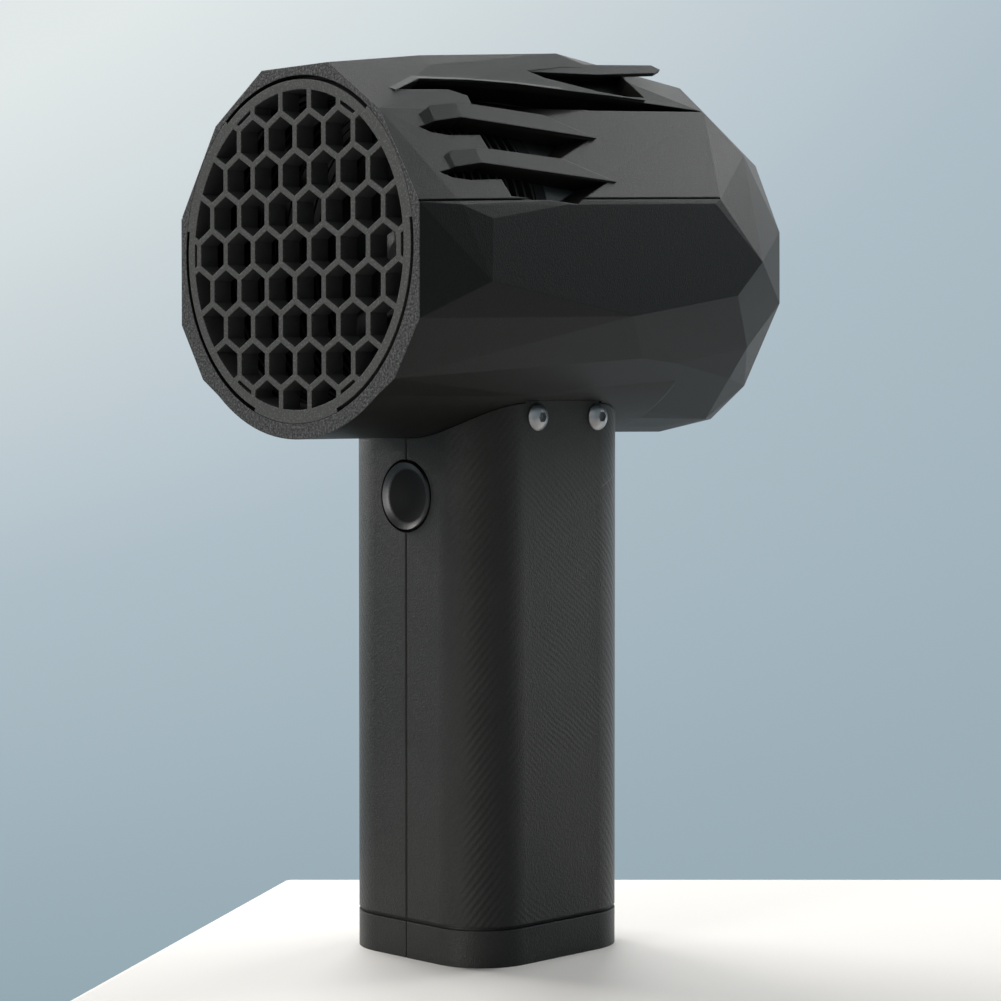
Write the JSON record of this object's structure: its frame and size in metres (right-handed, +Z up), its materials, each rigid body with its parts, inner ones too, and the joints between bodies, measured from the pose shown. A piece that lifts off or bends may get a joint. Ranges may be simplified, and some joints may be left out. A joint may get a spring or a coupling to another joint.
{
  "type": "car dryer blower",
  "caption": "Handheld jet dryer for cars: faceted barrel with side gills and a honeycomb intake, ducted fan inside, straight battery grip with a thumb button.",
  "frame": {"origin": "centre of the grip's foot", "axes": "+Z up the grip, +Y along the barrel towards the outlet, +X to the side"},
  "size_m": [0.0816, 0.1145, 0.1925],
  "materials": {
    "printed_shell": "charcoal printed plastic with fine layer lines",
    "printed_grille": "charcoal printed plastic with a grained front face",
    "fan_plastic": "satin black moulded plastic",
    "rotor_plastic": "satin black glass-filled plastic",
    "motor_aluminium": "turned",
    "lamination_steel": "stacked laminations",
    "enamelled_copper": "enamelled copper wire",
    "bell_metal": "black anodised",
    "magnet_nickel": "nickel plated",
    "bearing_steel": "ground steel",
    "screw_steel": "bare stainless steel",
    "insert_brass": "knurled brass",
    "button_gloss": "glossy black with a rolled rim",
    "plunger_plastic": "natural moulded plastic",
    "chip_plastic": "black moulded plastic",
    "circuit_board": "green solder mask",
    "red_sleeve": "red silicone sleeve",
    "black_sleeve": "black silicone sleeve",
    "heatsink_aluminium": "extruded aluminium",
    "capacitor_sleeve": "dark blue shrink sleeve",
    "holder_plastic": "black moulded plastic",
    "link_nickel": "nickel strip",
    "cell_wrap": "blue shrink wrap over a steel can"
  },
  "bodies": {
    "housing": {"barrel_shell": "printed_shell", "intake_grille": "printed_grille", "bellmouth_ring": "fan_plastic", "fan_duct": "fan_plastic", "guide_vanes": "fan_plastic", "outlet_nozzle": "fan_plastic", "tail_cone": "fan_plastic", "motor_base": "motor_aluminium", "motor_stator": "lamination_steel", "motor_windings": "enamelled_copper", "front_bearing": "bearing_steel", "rear_bearing": "bearing_steel", "motor_screws": "screw_steel", "grip_shell_right": "printed_shell", "grip_shell_left": "printed_shell", "base_cap": "printed_shell", "cap_screws": "screw_steel", "grip_screws": "screw_steel", "screw_inserts": "insert_brass", "switch_body": "chip_plastic", "switch_board": "circuit_board", "switch_leads": "red_sleeve", "esc_board": "circuit_board", "esc_mosfets": "chip_plastic", "esc_heatsink": "heatsink_aluminium", "esc_capacitor": "capacitor_sleeve", "phase_leads": "black_sleeve", "battery_leads": "red_sleeve", "cell_holder_lower": "holder_plastic", "cell_holder_upper": "holder_plastic", "cell_links": "link_nickel", "battery_cell_1": "cell_wrap", "battery_cell_2": "cell_wrap", "battery_cell_3": "cell_wrap", "battery_cell_4": "cell_wrap"},
    "fan": {"fan_rotor": "rotor_plastic", "rotor_nut": "screw_steel", "spinner_nose": "rotor_plastic", "motor_bell": "bell_metal", "motor_magnets": "magnet_nickel", "motor_shaft": "bearing_steel"},
    "button": {"button_cap": "button_gloss", "switch_plunger": "plunger_plastic"}
  },
  "joints": [
    {"name": "fan_spin", "type": "hinge", "parent": "housing", "child": "fan", "pos_m": [0, 0, 0.148], "axis": [0, 1, 0], "continuous": true},
    {"name": "button_press", "type": "slide", "parent": "housing", "child": "button", "axis": [0, 1, 0], "range_m": [0, 0.0015], "stiffness_N_per_m": 1200, "springref_m": -0.001}
  ]
}
